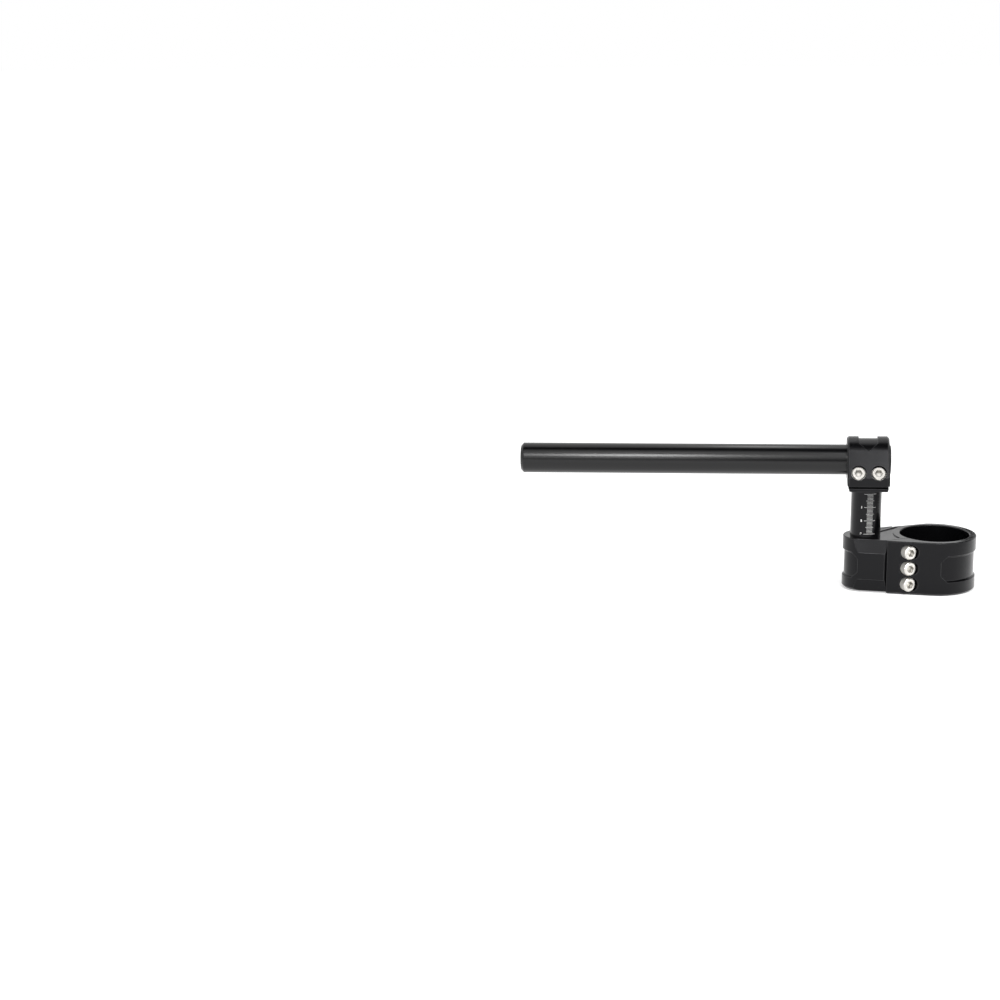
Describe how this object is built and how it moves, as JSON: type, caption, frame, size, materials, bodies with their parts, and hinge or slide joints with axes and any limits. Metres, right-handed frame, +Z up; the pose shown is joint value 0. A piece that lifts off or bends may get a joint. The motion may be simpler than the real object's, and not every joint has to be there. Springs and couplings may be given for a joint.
{
  "type": "clip-on handlebar",
  "caption": "Height-adjustable clip-on handlebar: a split fork clamp holds a round riser, and the riser's pinch clamp holds a plain swept bar.",
  "frame": {"origin": "on the fork tube's axis, in the plane of the clamp's foot", "axes": "+Z up along the fork tube; the riser stands on the -X side and the bar leaves it towards -X; the clamp's fork slit faces -Y"},
  "size_m": [0.3345, 0.0861, 0.114],
  "materials": {
    "black_anodised": "satin black anodised",
    "black_bar": "smooth black anodised",
    "stainless": "bright stainless"
  },
  "bodies": {
    "clamp": {"fork_clamp": "black_anodised", "fork_pinch_screws": "stainless", "riser_pinch_screws": "stainless"},
    "riser": {"riser": "black_anodised", "bar_pinch_screws": "stainless"},
    "bar": {"handlebar_tube": "black_bar"}
  },
  "joints": [
    {"name": "riser_height", "type": "slide", "parent": "clamp", "child": "riser", "axis": [0, 0, 1], "range_m": [-0.035, 0.012]},
    {"name": "bar_reach", "type": "slide", "parent": "riser", "child": "bar", "axis": [-0.9841, 0.1771, -0.0157], "range_m": [-0.009, 0.0013]}
  ]
}
